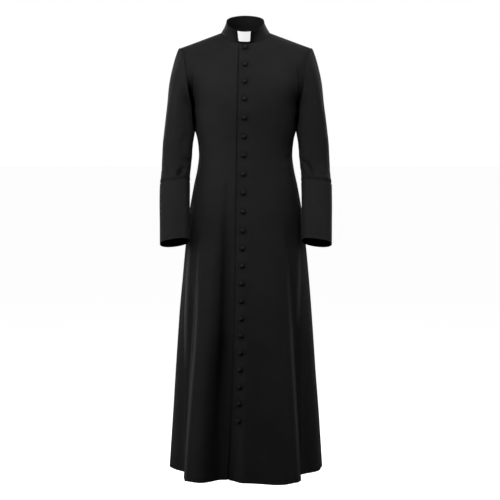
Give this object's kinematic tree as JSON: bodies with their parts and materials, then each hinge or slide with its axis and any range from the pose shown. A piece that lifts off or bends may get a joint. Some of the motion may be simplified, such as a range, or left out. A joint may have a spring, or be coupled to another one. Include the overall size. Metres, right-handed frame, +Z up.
{
  "type": "cassock",
  "caption": "Full-length clergy gown with a stand collar open over a white tab, a buttoned lapped front, deep cuffs and a flared, pleated skirt, hollow as when worn.",
  "frame": {"origin": "the middle of the neck opening, level with the points where the shoulder seams meet the collar, where the wearer holds the gown up", "axes": "+X towards the wearer's left, -Y towards the front, +Z up along the wearer's body"},
  "size_m": [0.5512, 0.4443, 1.4898],
  "materials": {
    "cloth": "matt black worsted twill",
    "button": "button covered in the same black cloth",
    "tab": "smooth white with a soft sheen"
  },
  "bodies": {
    "root": {"front_left": "cloth", "front_right": "cloth", "back_left": "cloth", "back_right": "cloth", "sleeve_top_left": "cloth", "sleeve_top_right": "cloth", "sleeve_under_left": "cloth", "sleeve_under_right": "cloth", "cuff_left": "cloth", "cuff_right": "cloth", "collar_band": "cloth", "collar_tab": "tab", "button_01": "button", "button_02": "button", "button_03": "button", "button_04": "button", "button_05": "button", "button_06": "button", "button_07": "button", "button_08": "button", "button_09": "button", "button_10": "button", "button_11": "button", "button_12": "button", "button_13": "button", "button_14": "button", "button_15": "button", "button_16": "button", "button_17": "button", "button_18": "button", "button_19": "button", "button_20": "button", "button_21": "button", "button_22": "button"}
  },
  "joints": []
}
